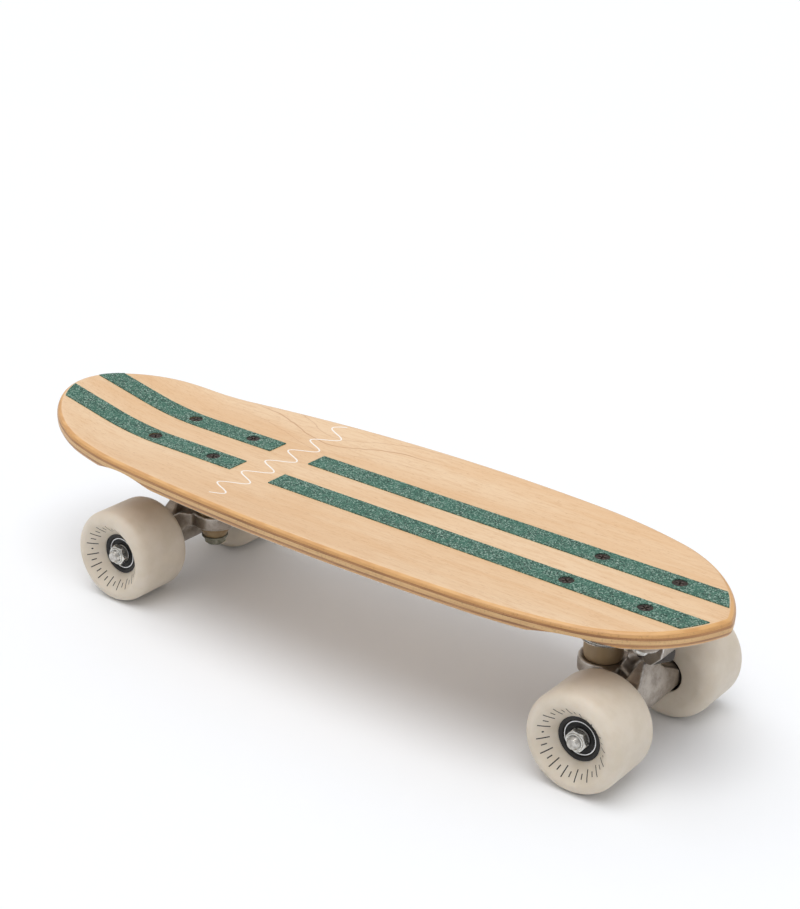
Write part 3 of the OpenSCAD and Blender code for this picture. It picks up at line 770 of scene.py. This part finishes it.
def make_cutters():
    """Solids that cut the countersunk bolt holes and the wheel wells out of the plies."""
    holes, wells = Shape(), Shape()
    rim, sink = HEAD_R + 0.1 * MM, HEAD_TOP - HEAD_RIM
    for x, y in BOLTS:
        holes.turned([
            (0, HOLE_LOW), (BOLT_HOLE_R, HOLE_LOW), (BOLT_HOLE_R, sink - rim + BOLT_HOLE_R),
            (rim, sink), (rim, HOLE_HIGH), (0, HOLE_HIGH)], Matrix.Translation((x, y, 0)), 48)
    deck_bottom, reach = DECK_TOP - DECK_T, 70 * MM
    for end in ENDS:
        x = AXLE[end].x - OUTBOARD[end] * WELL_BACK
        for side in (1, -1):
            tip = Matrix.Rotation(side * WELL_TILT - side * pi / 2, 4, "X")
            at = Matrix.Translation((x, side * WELL_START, deck_bottom - WELL_R)) @ tip
            wells.turned([(0, 0), (WELL_R, 0), (WELL_R, reach), (0, reach)], at, 360)
    return holes.make("holes", "core"), wells.make("wells", "core")


def make_deck():
    holes, wells = make_cutters()
    looks = ("maple_face", "long", "cross", "core", "cross", "long", "maple_bottom")
    for index, (node, look) in enumerate(zip(PLIES, looks)):
        ply = ply_shape(index).make(node.replace("deck_", "veneer_"), look, 30)
        if index > 2:
            carve(ply, wells, 30)
        carve(ply, holes, 30)
        fit(ply, "board", node)
    remove(holes)
    remove(wells)


def outline_x(y, inset, end):
    """Where the outline, drawn smaller by inset, is y from the middle, at the nose or the tail."""
    line = half_outline(inset, 0.8 * MM)
    line = line[:len(line) // 2] if end == "front" else line[len(line) // 2:][::-1]
    for (x0, y0), (x1, y1) in zip(line, line[1:]):
        if y0 <= y <= y1:
            return x0 + (x1 - x0) * (y - y0) / max(y1 - y0, 1e-9)
    return line[-1][0]


GRIP_INSET = 4.4 * MM
GRIP_STEP = 0.75 * MM
GRIP_T = 0.9 * MM


def make_grip(end, side):
    """A strip of grit tape: rough on top, cut along the deck's edge at its far end, with bolt holes."""
    node = f"grip_{end}_{side}"
    low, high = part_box(node)
    chance = random.Random(len(node) + (1 if side == "left" else 2))
    start = low.x if end == "front" else high.x
    across = 24
    ys = [low.y + (high.y - low.y) * c / across for c in range(across + 1)]
    ends = [outline_x(abs(y), GRIP_INSET, end) for y in ys]
    along = round(abs(ends[across // 2] - start) / GRIP_STEP)
    thick = high.z - DECK_TOP if end == "front" else GRIP_T
    points = []
    for level in (0, 1):
        for k in range(along + 1):
            for c, y in enumerate(ys):
                x = start + (ends[c] - start) * k / along
                rim = k in (0, along) or c in (0, across)
                grit = chance.uniform(0.62, 0.8) if rim else chance.uniform(0.7, 0.98)
                points.append((x, y, deck_height(x, y, -thick * grit if level else 0.0)))
    wide, sheet = across + 1, (across + 1) * (along + 1)
    faces = []
    for k in range(along):
        for c in range(across):
            a = k * wide + c
            faces.append((a, a + 1, a + wide + 1, a + wide))
            faces.append(tuple(sheet + i for i in (a, a + 1, a + wide + 1, a + wide)))
    border = list(range(wide)) + [k * wide + across for k in range(1, along + 1)]
    border += [along * wide + c for c in range(across - 1, -1, -1)] + [k * wide for k in range(along - 1, 0, -1)]
    for a, b in zip(border, border[1:] + border[:1]):
        faces.append((a, b, sheet + b, sheet + a))
    strip = Shape().add(points, faces).make(f"grit_{end}_{side}", "grip", 50)
    cutter = bolt_holes("grip_holes", "grip", low, high, HEAD_R + 0.12 * MM, (90 * MM, 120 * MM))
    carve(strip, cutter, 50)
    remove(cutter)
    fit(strip, "board", node)


def make_motif():
    """A printed wave across the gap between the stripes: a thin ribbon that lies on the veneer."""
    gap_mid = (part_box("grip_rear_left")[1].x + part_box("grip_front_left")[0].x) / 2
    half_run, shift, swing, half_w, ink_t = 72 * MM, 4 * MM, 8.5 * MM, 0.55 * MM, 0.05 * MM
    waves, steps = 6, 360
    points, faces = [], []
    for k in range(steps + 1):
        y = -half_run + 2 * half_run * k / steps + shift
        phase = TURN * waves * k / steps
        slope = swing * TURN * waves / (2 * half_run) * cos(phase)
        x = gap_mid + swing * sin(phase)
        across = Vector((1, -slope)).normalized() * half_w
        for side, depth in ((-1, 0.0), (-1, -ink_t), (1, -ink_t), (1, 0.0)):
            px, py = x + side * across.x, y + side * across.y
            points.append((px, py, deck_height(px, py, depth)))
    for k in range(steps):
        for c in range(4):
            faces.append((4 * k + c, 4 * k + (c + 1) % 4, 4 * k + 4 + (c + 1) % 4, 4 * k + 4 + c))
    faces += [(0, 1, 2, 3), tuple(4 * steps + c for c in range(4))]
    wave = Shape().add(points, faces).make("printed_wave", "motif", 40)
    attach(wave, "board")


# ---------- deck hardware ----------

def make_bolts():
    """Eight countersunk bolts with cross recesses and threaded shanks, and their lock nuts."""
    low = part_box("deck_bolts")[0].z
    nut_low, nut_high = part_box("deck_nuts")[0].z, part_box("deck_nuts")[1].z
    nut_h = nut_high - nut_low
    bolts, recesses, nuts, rings = Shape(), Shape(), Shape(), Shape()
    plain_h = 16 * MM
    head = [(0.0, 0.0), (HEAD_R * 0.6, 0.0)] + rounded(HEAD_R, 0, 0.25 * MM, HEAD_RIM, 3)
    head += [(HEAD_R - 0.05 * MM, HEAD_RIM + 0.05 * MM), (SHANK_R, HEAD_RIM + HEAD_R - SHANK_R), (SHANK_R, plain_h)]
    wing, narrow, deep, taper = 2.55 * MM, 0.55 * MM, 2.3 * MM, 1.15 * MM
    star = []
    for q in range(4):
        a = q * pi / 2
        for u, v in ((wing, -narrow), (wing, narrow), (narrow, narrow)):
            star.append((u * cos(a) - v * sin(a), u * sin(a) + v * cos(a)))
    for index, (x, y) in enumerate(BOLTS):
        # each bolt is left at its own angle
        turn = Matrix.Rotation(0.7 * index + 0.35, 4, "Z")
        at = Matrix.Translation((x, y, HEAD_TOP)) @ turn
        threaded(bolts, SHANK_R, BOLT_PITCH, plain_h + 0.2 * MM, HEAD_TOP - low, at @ UPSIDE_DOWN, head)
        recesses.slab(star, [(0.3 * MM, 0), (0, 0), (-deep, taper)], at)
        seat = Matrix.Translation((x, y, nut_high)) @ UPSIDE_DOWN @ turn
        lock_nut(nuts, 9.5 * MM, SHANK_R + 0.05 * MM, 3.6 * MM, 4.1 * MM, nut_h, seat)
        ring_solid(rings, SHANK_R + 0.1 * MM, 3.3 * MM, 3.7 * MM, nut_h - 0.45 * MM, 0.1 * MM, seat, 48)
    made = bolts.make("deck_bolt_set", "bolt", 32)
    cutter = recesses.make("recesses", "bolt")
    carve(made, cutter, 32)
    remove(cutter)
    fit(made, "board", "deck_bolts")
    place(nuts, "deck_nut_set", "board", "zinc", 28, "deck_nuts")
    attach(rings.make("deck_nut_rings", "nylon"), "board")


# ---------- trucks ----------

CAST_VOXEL = 0.8 * MM
CAST_ROUNDS = 4
CAST_ROUGH = 0.05 * MM
CAST_GRAIN = 400


def casting(node, name, body):
    """The CAD shape as a casting: its corners melted into small radii, with an uneven skin."""
    obj = linked(name, NODES[node].data.copy())
    work = bmesh.new()
    work.from_mesh(obj.data)
    bmesh.ops.remove_doubles(work, verts=work.verts, dist=1e-6)
    work.to_mesh(obj.data)
    work.free()
    remesh = obj.modifiers.new("voxels", "REMESH")
    remesh.mode = "VOXEL"
    remesh.voxel_size = CAST_VOXEL
    soften = obj.modifiers.new("soften", "SMOOTH")
    soften.factor = 0.5
    soften.iterations = CAST_ROUNDS
    apply_all(obj)
    normals = [vertex.normal.copy() for vertex in obj.data.vertices]
    for vertex, normal in zip(obj.data.vertices, normals):
        vertex.co += normal * CAST_ROUGH * noise.noise(vertex.co * CAST_GRAIN)
    dress(obj, "alloy")
    crisp(obj, 60)
    fit(obj, body, node)


def king_frame(end, z=0):
    return Matrix.Translation((KING[end].x, 0, z))


def barrel_section(r, h):
    flare = 1.2 * MM
    side = [(r - 0.25 * MM - 0.45 * MM * abs(2 * k / 12 - 1) ** 3, h * (0.08 + 0.84 * k / 12)) for k in range(13)]
    loop = [(KING_BORE_R + flare, 0), (r - 1.6 * MM, 0), (r - 1.0 * MM, h * 0.02)] + side
    loop += [(r - 1.0 * MM, h * 0.98), (r - 1.6 * MM, h), (KING_BORE_R, h)]
    return loop + [(KING_BORE_R + flare * (1 - k / 8), h * k / 8) for k in range(7, 0, -1)]


def cone_section(r, h):
    side = [(r - 2.9 * MM + 2.7 * MM * k / 10 + 0.35 * MM * sin(pi * k / 10), h * (0.1 + 0.8 * k / 10))
            for k in range(11)]
    loop = [(KING_BORE_R, 0), (r - 3.6 * MM, 0), (r - 3.1 * MM, h * 0.03)] + side
    loop += [(r - 0.6 * MM, h), (KING_BORE_R + MM, h)]
    return loop + [(KING_BORE_R + MM * k / 6, h * k / 6) for k in range(5, 0, -1)]


def make_bushings(end):
    """Barrel and cone bushings between the board and the hanger, built in their resting shape."""
    for look, name, section in (("upper", "_barrel_bushing", barrel_section), ("lower", "_cone_bushing", cone_section)):
        node = f"{end}_{look}_bushing"
        low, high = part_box(node)
        profile = section((high.y - low.y) / 2, high.z - low.z)
        piece = Shape().turned(profile, king_frame(end, low.z), loop=True).make(end + name, look, 45)
        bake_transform(piece)
        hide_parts(node)


def make_kingpin(end):
    """Kingpin with a hexagon head inside the baseplate and a threaded lower end."""
    low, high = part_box(end + "_kingpin")
    at = king_frame(end)
    r, head_h, thread_h = 4.76 * MM, 6 * MM, 14 * MM
    shape = Shape()
    head, head_end = hexagon(KING_HEX, 8.0 * MM), hexagon(KING_HEX, 7.2 * MM)
    shape.turned([
        (0, low.z + thread_h), (r, low.z + thread_h), (r, high.z - head_h), (head, high.z - head_h),
        (head, high.z - 0.8 * MM), (head_end, high.z), (0, high.z)], at, 96)
    flip = king_frame(end, low.z + thread_h) @ UPSIDE_DOWN
    threaded(shape, r, THREAD_PITCH, -0.1 * MM, thread_h, flip)
    place(shape, end + "_kingpin_bolt", "board", "kingpin", 32, end + "_kingpin")


def make_king_hardware():
    """Dished washers over the barrel bushings, flat ones under the cones, and the lock nuts."""
    cup_low, cup_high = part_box("cup_washers")
    r, bore, sheet = cup_high.y, KING_BORE_R, 1.6 * MM
    flat_low, flat_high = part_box("lower_washers")
    nut_low, nut_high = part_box("kingpin_nuts")
    cups, flats, nuts, rings = Shape(), Shape(), Shape(), Shape()
    for end in ENDS:
        at = king_frame(end)
        top, rim = cup_high.z, cup_low.z
        flat = r - 3.4 * MM
        loop = [(bore, top), (flat, top)]
        for k in range(1, 7):
            t = pi / 2 * k / 6
            loop.append((flat + 2.6 * MM * sin(t), top - 2.0 * MM * (1 - cos(t))))
        loop += [
            (r - 0.35 * MM, rim + 0.5 * MM), (r, rim + 0.3 * MM), (r - 0.05 * MM, rim), (r - 0.7 * MM, rim),
            (r - 1.2 * MM, rim + 0.6 * MM), (r - 1.5 * MM, top - 1.9 * MM), (r - 2.2 * MM, top - sheet),
            (bore, top - sheet),
        ]
        cups.turned(loop, at, 96, loop=True)
        ring_solid(flats, bore, flat_high.y, flat_low.z, flat_high.z, 0.3 * MM, at)
        turn = Matrix.Rotation(0.2, 4, "Z")
        seat = king_frame(end, nut_high.z) @ UPSIDE_DOWN @ turn
        height = nut_high.z - nut_low.z
        lock_nut(nuts, KING_HEX, 4.84 * MM, 4 * MM, 6.2 * MM, height, seat)
        ring_solid(rings, bore, 5.5 * MM, 4.1 * MM, height - 0.4 * MM, 0.1 * MM, seat, 48)
    place(cups, "cup_washer_pair", "board", "zinc", 40, "cup_washers")
    # the flat washers and the kingpin nuts take the zinc copy with painted shade
    place(flats, "flat_washer_pair", "board", "dull", 40, "lower_washers")
    place(nuts, "kingpin_nut_pair", "board", "dull", 28, "kingpin_nuts")
    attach(rings.make("kingpin_nut_rings", "nylon"), "board")


def make_riser(end):
    """Rubber pad between the baseplate and the deck, with rounded corners and bolt holes."""
    low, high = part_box(end + "_riser_pad")
    corner, steps = 7.5 * MM, 10
    inner_low, inner_high = low + Vector((corner, corner, 0)), high - Vector((corner, corner, 0))
    outline = []
    for cx, cy, first in (
            (inner_high.x, inner_high.y, 0), (inner_low.x, inner_high.y, 90),
            (inner_low.x, inner_low.y, 180), (inner_high.x, inner_low.y, 270)):
        for k in range(steps + 1):
            a = radians(first + 90 * k / steps)
            outline.append((cx + corner * cos(a), cy + corner * sin(a)))
    bevel, ease, top_ease = 0.6 * MM, 0.2 * MM, 0.1 * MM
    levels = [
        (low.z, bevel), (low.z + ease, ease), (low.z + bevel, 0), (high.z - top_ease, 0), (high.z, top_ease),
    ]
    pad = Shape().slab(outline, levels).make(end + "_riser", "riser", 40)
    cutter = bolt_holes("riser_holes", "riser", low, high, BOLT_HOLE_R, (70 * MM, 100 * MM))
    carve(pad, cutter, 40)
    remove(cutter)
    fit(pad, "board", end + "_riser_pad")


def axle_frame(end, side):
    """Origin at the middle of the axle, +Z out along it on this side."""
    turn = Matrix.Rotation(-pi / 2 if side == "left" else pi / 2, 4, "X")
    return Matrix.Translation(AXLE[end]) @ turn


def make_axle(end):
    """Steel axle with threaded ends, its nuts, and the washers beside the bearings."""
    truck = end + "_truck"
    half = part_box(end + "_axle")[1].y
    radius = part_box(end + "_axle")[1].z - AXLE[end].z
    nut_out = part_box(end + "_axle_nuts")[1].y
    plain = 60 * MM
    rod, nuts, rings, washers = Shape(), Shape(), Shape(), Shape()
    washer_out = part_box(end + "_speed_washers")[1].y
    bearing_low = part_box(end + "_bearing_inner_rings")[1].y - BEARING_SPAN
    nut_h = nut_out - washer_out
    rod.turned([(0, -plain), (radius, -plain), (radius, plain), (0, plain)], axle_frame(end, "left"))
    for side in SIDES:
        at = axle_frame(end, side)
        threaded(rod, radius, THREAD_PITCH, plain - 0.1 * MM, half, at)
        seat = at @ Matrix.Translation((0, 0, washer_out)) @ Matrix.Rotation(0.4, 4, "Z")
        lock_nut(nuts, 12.7 * MM, radius + 0.04 * MM, 4.2 * MM, 5.4 * MM, nut_h, seat)
        ring_solid(rings, radius + 0.05 * MM, 4.75 * MM, 4.3 * MM, nut_h - 0.45 * MM, 0.1 * MM, seat, 48)
        for low in (bearing_low - WASHER_T, washer_out - WASHER_T):
            ring_solid(washers, radius + 0.1 * MM, 5.9 * MM, low, low + WASHER_T, 0.15 * MM, at)
    place(rod, end + "_axle_rod", truck, "axle", 32, end + "_axle")
    place(nuts, end + "_axle_nut_pair", truck, "zinc", 28, end + "_axle_nuts")
    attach(rings.make(end + "_axle_nut_rings", "nylon"), truck)
    place(washers, end + "_washer_set", truck, "zinc", 40, end + "_speed_washers")


def make_inner_rings(end):
    """Inner races: a ground tube with rounded corners, at each bearing."""
    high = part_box(end + "_bearing_inner_rings")[1]
    shape = Shape()
    for side in SIDES:
        for start in (high.y - BEARING_SPAN, high.y - BEARING_W):
            ring_solid(shape, 4.0 * MM, 6.05 * MM, start, start + BEARING_W, 0.35 * MM, axle_frame(end, side))
    place(shape, end + "_inner_races", end + "_truck", "bearing", 40, end + "_bearing_inner_rings")


# ---------- wheels ----------

CORE_R = 14.2 * MM
DISH = 11.1 * MM
DISH_POWER = 1.3
CORE_SET_IN = 1.8 * MM


def wheel_profile(low, high, r):
    """The wheel's section, from the inner bore to the outer one: (radius, distance out along the axle)."""
    hole = 12.3 * MM
    outer_dr, outer_dy, inner_dr, inner_dy = 6.9 * MM, 7.6 * MM, 9.5 * MM, 10.0 * MM
    steps, dish_steps = 14, 16
    loop = [
        (CORE_R, low + CORE_SET_IN), (hole, low + CORE_SET_IN), (hole, low + 0.8 * MM),
        (hole + 0.25 * MM, low + 0.25 * MM), (hole + 0.9 * MM, low),
    ]
    for k in range(steps + 1):
        a = pi / 2 * k / steps
        loop.append((r - inner_dr + inner_dr * sin(a), low + inner_dy * (1 - cos(a))))
    for k in range(steps, -1, -1):
        a = pi / 2 * k / steps
        loop.append((r - outer_dr + outer_dr * sin(a), high - outer_dy * (1 - cos(a))))
    # the outer face is a deep dish, down to the core
    face = r - outer_dr
    for k in range(1, dish_steps + 1):
        share = k / dish_steps
        loop.append((face + (CORE_R - face) * share, high - DISH * share ** DISH_POWER))
    return loop


def face_height(profile, r, high):
    """Distance out along the axle of the wheel's outer face at a radius."""
    outer = [(a, z) for a, z in profile if z > high - DISH]
    for (r0, z0), (r1, z1) in zip(outer, outer[1:]):
        if min(r0, r1) <= r <= max(r0, r1) and r0 != r1:
            return z0 + (z1 - z0) * (r - r0) / (r1 - r0)
    return high


def make_ticks(name, profile, high):
    """A ring of printed long and short ticks on the wheel's face, with a dot at two places."""
    shape = Shape()
    count, dot_every, lift = 32, 16, 0.03 * MM
    dot_at, dot_r, dot_steps = 20.4 * MM, 0.55 * MM, 16
    half_w, tick_steps = 0.36 * MM, 12
    for index in range(count):
        centre = TURN * index / count
        is_dot = index % dot_every == 0
        if is_dot:
            turns = [TURN * k / dot_steps for k in range(dot_steps + 1)]
            grid = [[(dot_at + q * cos(a), q * sin(a)) for a in turns] for q in (0, dot_r)]
        else:
            inner, outer = (17.6 * MM, 23.4 * MM) if index % 2 else (19.2 * MM, 21.8 * MM)
            us = [inner + (outer - inner) * k / tick_steps for k in range(tick_steps + 1)]
            grid = [[(u, v) for u in us] for v in (-half_w, half_w)]
        points, faces = [], []
        wide = len(grid[0])
        for level in (-lift, lift):
            for row in grid:
                for u, v in row:
                    r = hypot(u, v)
                    a = centre + atan2(v, u)
                    points.append((r * cos(a), r * sin(a), face_height(profile, r, high) + level))
        for base in (0, 2 * wide):
            faces += [(base + k, base + k + 1, base + wide + k + 1, base + wide + k) for k in range(wide - 1)]
        for row in (0, wide):
            faces += [(row + k, row + k + 1, 2 * wide + row + k + 1, 2 * wide + row + k) for k in range(wide - 1)]
        if not is_dot:
            faces += [(k, wide + k, 3 * wide + k, 2 * wide + k) for k in (0, wide - 1)]
        shape.add(points, faces)
    return shape


def make_wheel(end, side):
    """One wheel's tyre, printed ticks, core, outer races and shields, and the finish of its balls."""
    name = f"{end}_{side}"
    body = name + "_wheel"
    at = axle_frame(end, side)
    low_corner, high_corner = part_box(name + "_wheel")
    low = min(abs(low_corner.y), abs(high_corner.y))
    high = max(abs(low_corner.y), abs(high_corner.y))
    r = (high_corner.z - low_corner.z) / 2
    profile = wheel_profile(low, high, r)
    tyre = Shape().turned(profile + [(CORE_R, low + CORE_SET_IN)], count=160)
    tyre = tyre.make(name + "_tyre", "wheel", 50, at)
    fit(tyre, body, name + "_wheel")
    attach(make_ticks(name, profile, high).make(name + "_ticks", "tick", 50, at), body)

    seats = [abs(corner.y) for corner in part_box(name + "_bearing_outer_rings")]
    inner_seat, outer_seat = min(seats), max(seats)
    recess_r, shoulder_r, chamfer = 12.0 * MM, 10.0 * MM, 0.3 * MM
    core_low, core_high = low + CORE_SET_IN, high - DISH
    core = [
        (CORE_R, core_low), (CORE_R, core_high), (recess_r, core_high), (recess_r - chamfer, core_high - 0.2 * MM),
        (RACE_R + 0.05 * MM, outer_seat), (RACE_R, outer_seat - 0.1 * MM), (RACE_R, outer_seat - BEARING_W),
        (shoulder_r, outer_seat - BEARING_W), (shoulder_r, inner_seat + BEARING_W), (RACE_R, inner_seat + BEARING_W),
        (RACE_R, inner_seat), (recess_r - chamfer, inner_seat), (recess_r, inner_seat - chamfer),
        (recess_r, core_low + 0.4 * MM), (recess_r + 0.4 * MM, core_low),
    ]
    hub = Shape().turned(core, count=96, loop=True).make(name + "_core", "core_plastic", 35, at)
    fit(hub, body, name + "_wheel_core")

    races, shields = Shape(), Shape()
    lip, thick = 0.7 * MM, 0.4 * MM
    face = [(r_mm * MM, lift_mm * MM) for r_mm, lift_mm in (
        (10.15, -0.1), (9.9, 0.05), (9.2, 0.05), (8.9, 0), (8.7, -0.12), (8.3, -0.12), (8.1, 0), (7.2, 0),
        (7.0, -0.1), (6.6, -0.1), (6.4, 0))]
    for start in (inner_seat, outer_seat - BEARING_W):
        edge = start + BEARING_W
        races.turned([
            (9.1 * MM, start + lip), (10.2 * MM, start + lip), (10.35 * MM, start), (10.75 * MM, start),
            (RACE_R, start + chamfer), (RACE_R, edge - chamfer), (10.75 * MM, edge), (10.35 * MM, edge),
            (10.2 * MM, edge - lip), (9.1 * MM, edge - lip)], count=96, loop=True)
        for seal, out in ((start + chamfer, -1), (edge - chamfer, 1)):
            loop = [(radius, seal + out * lift) for radius, lift in face]
            loop += [(face[-1][0], seal - out * thick), (face[0][0], seal - out * thick)]
            shields.turned(loop, count=96, loop=True)
    place(races, name + "_outer_races", body, "bearing", 40, name + "_bearing_outer_rings", at=at)
    place(shields, name + "_shields", body, "seal", 35, name + "_bearing_seals", at=at)
    dress(NODES[name + "_bearing_balls"], "bearing")


# ---------- the whole board ----------

def make_floor():
    shape = Shape()
    half = 9
    shape.add([(-half, -half, 0), (half, -half, 0), (half, half, 0), (-half, half, 0)], [(0, 1, 2, 3)])
    shape.make("floor", "floor")


make_camera()
make_world()
make_light("key", (0.15, -0.35, 1.9), 50, 1.42, (1.0, 0.99, 0.98))
make_light("fill", (-1.2, 0.2, 1.6), 70, 0.4, (0.98, 0.99, 1.0))
make_floor()
make_deck()
make_motif()
for end in ENDS:
    for side in SIDES:
        make_grip(end, side)
        make_wheel(end, side)
    casting(end + "_hanger", end + "_hanger_casting", end + "_truck")
    casting(end + "_baseplate", end + "_baseplate_casting", "board")
    make_bushings(end)
    make_kingpin(end)
    make_riser(end)
    make_axle(end)
    make_inner_rings(end)
    dress(NODES[end + "_pivot_cup"], "pivot")
    dress(NODES[end + "_bearing_spacers"], "zinc")
make_bolts()
make_king_hardware()
